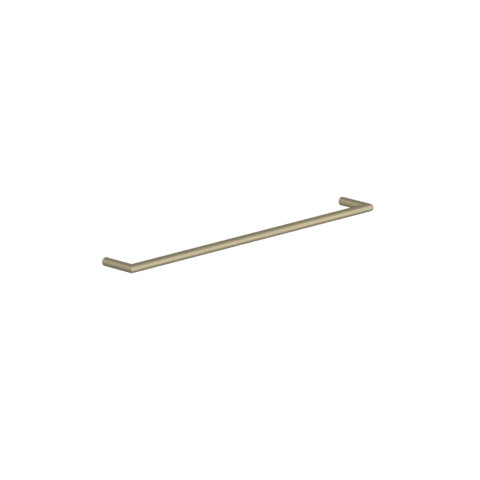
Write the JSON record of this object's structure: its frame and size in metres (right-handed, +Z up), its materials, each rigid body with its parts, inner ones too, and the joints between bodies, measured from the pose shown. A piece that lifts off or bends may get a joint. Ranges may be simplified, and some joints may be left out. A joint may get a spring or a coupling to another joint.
{
  "type": "towel holder",
  "caption": "Straight round towel rail with short mitred end arms that slide over concealed wall spigots and are locked by set screws in their undersides.",
  "frame": {"origin": "on the wall plane, midway between the two fixing centres", "axes": "+X along the bar, +Y into the wall, +Z up"},
  "size_m": [0.616, 0.076, 0.016],
  "materials": {
    "rail_finish": "fine brushed, pale champagne brass, grain along each tube",
    "turned_brass": "bare turned brass",
    "stainless": "plain stainless steel"
  },
  "bodies": {
    "root": {"bar": "rail_finish", "left_arm": "rail_finish", "right_arm": "rail_finish", "left_wall_spigot": "turned_brass", "right_wall_spigot": "turned_brass", "left_set_screw": "stainless", "right_set_screw": "stainless"}
  },
  "joints": []
}
